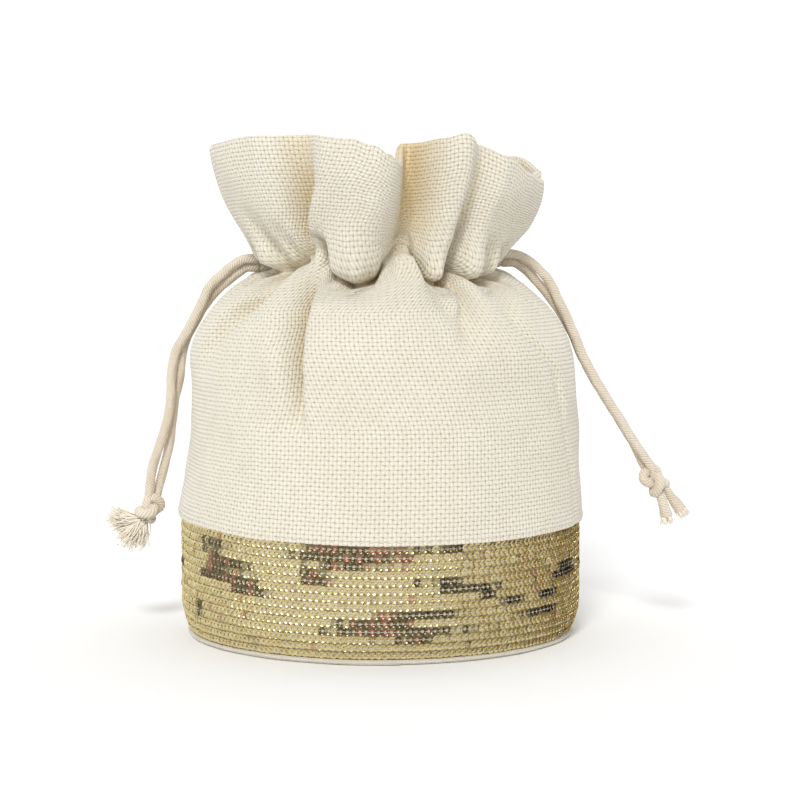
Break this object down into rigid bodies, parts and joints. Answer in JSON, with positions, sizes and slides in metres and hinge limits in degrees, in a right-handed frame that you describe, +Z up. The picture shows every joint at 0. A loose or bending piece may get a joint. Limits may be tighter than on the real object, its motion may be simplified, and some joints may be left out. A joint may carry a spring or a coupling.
{
  "type": "drawstring gift sack",
  "caption": "Round canvas gift sack with a gathered neck, flared ruffle, knotted cotton pull cords and a band of gold sequin rows round its foot.",
  "frame": {"origin": "middle of the base, on the surface that the sack stands on", "axes": "+Z up along the sack's axis; the front faces -Y; the cords leave the neck at -X and +X"},
  "size_m": [0.2417, 0.1682, 0.202],
  "materials": {
    "canvas": "heavy natural cotton in a coarse basket weave, matt",
    "lining": "plain cotton, matt",
    "net": "fine net under the sequins, matt",
    "sequins": "pale gold metallised film, glossy",
    "binding": "cotton tape, matt",
    "cord": "knitted cotton cord, matt",
    "tassel": "frayed cotton yarns, matt",
    "thread": "cotton thread, matt"
  },
  "bodies": {
    "sack": {"base_panel": "lining", "base_binding": "binding", "base_stitch": "thread", "band_lining": "lining", "band_net": "net", "sequin_row_01": "sequins", "sequin_row_02": "sequins", "sequin_row_03": "sequins", "sequin_row_04": "sequins", "sequin_row_05": "sequins", "sequin_row_06": "sequins", "sequin_row_07": "sequins", "sequin_row_08": "sequins", "sequin_row_09": "sequins", "sequin_row_10": "sequins", "sequin_row_11": "sequins", "sequin_row_12": "sequins", "sequin_row_13": "sequins", "sequin_row_14": "sequins", "front_panel": "canvas", "back_panel": "canvas", "mouth_facing": "canvas", "left_seam_allowance": "canvas", "right_seam_allowance": "canvas", "hem_topstitch": "thread", "lower_channel_stitch": "thread", "upper_channel_stitch": "thread", "left_cord_run": "cord", "right_cord_run": "cord"},
    "left_pull": {"left_cord_lead": "cord"},
    "left_tail": {"left_strand_front": "cord", "left_strand_rear": "cord", "left_knot": "cord", "left_tassel": "tassel"},
    "right_pull": {"right_cord_lead": "cord"},
    "right_tail": {"right_strand_front": "cord", "right_strand_rear": "cord", "right_knot": "cord", "right_tassel": "tassel"}
  },
  "joints": [
    {"name": "left_cord_slide", "type": "slide", "parent": "sack", "child": "left_pull", "axis": [-1, 0, 0], "range_m": [0, 0.012]},
    {"name": "left_tail_swing", "type": "hinge", "parent": "left_pull", "child": "left_tail", "pos_m": [-0.0548, 0, 0.1535], "axis": [0, 1, 0], "range_deg": [0, 60]},
    {"name": "right_cord_slide", "type": "slide", "parent": "sack", "child": "right_pull", "axis": [1, 0, 0], "range_m": [0, 0.012]},
    {"name": "right_tail_swing", "type": "hinge", "parent": "right_pull", "child": "right_tail", "pos_m": [0.0548, 0, 0.1554], "axis": [0, -1, 0], "range_deg": [0, 60]}
  ]
}
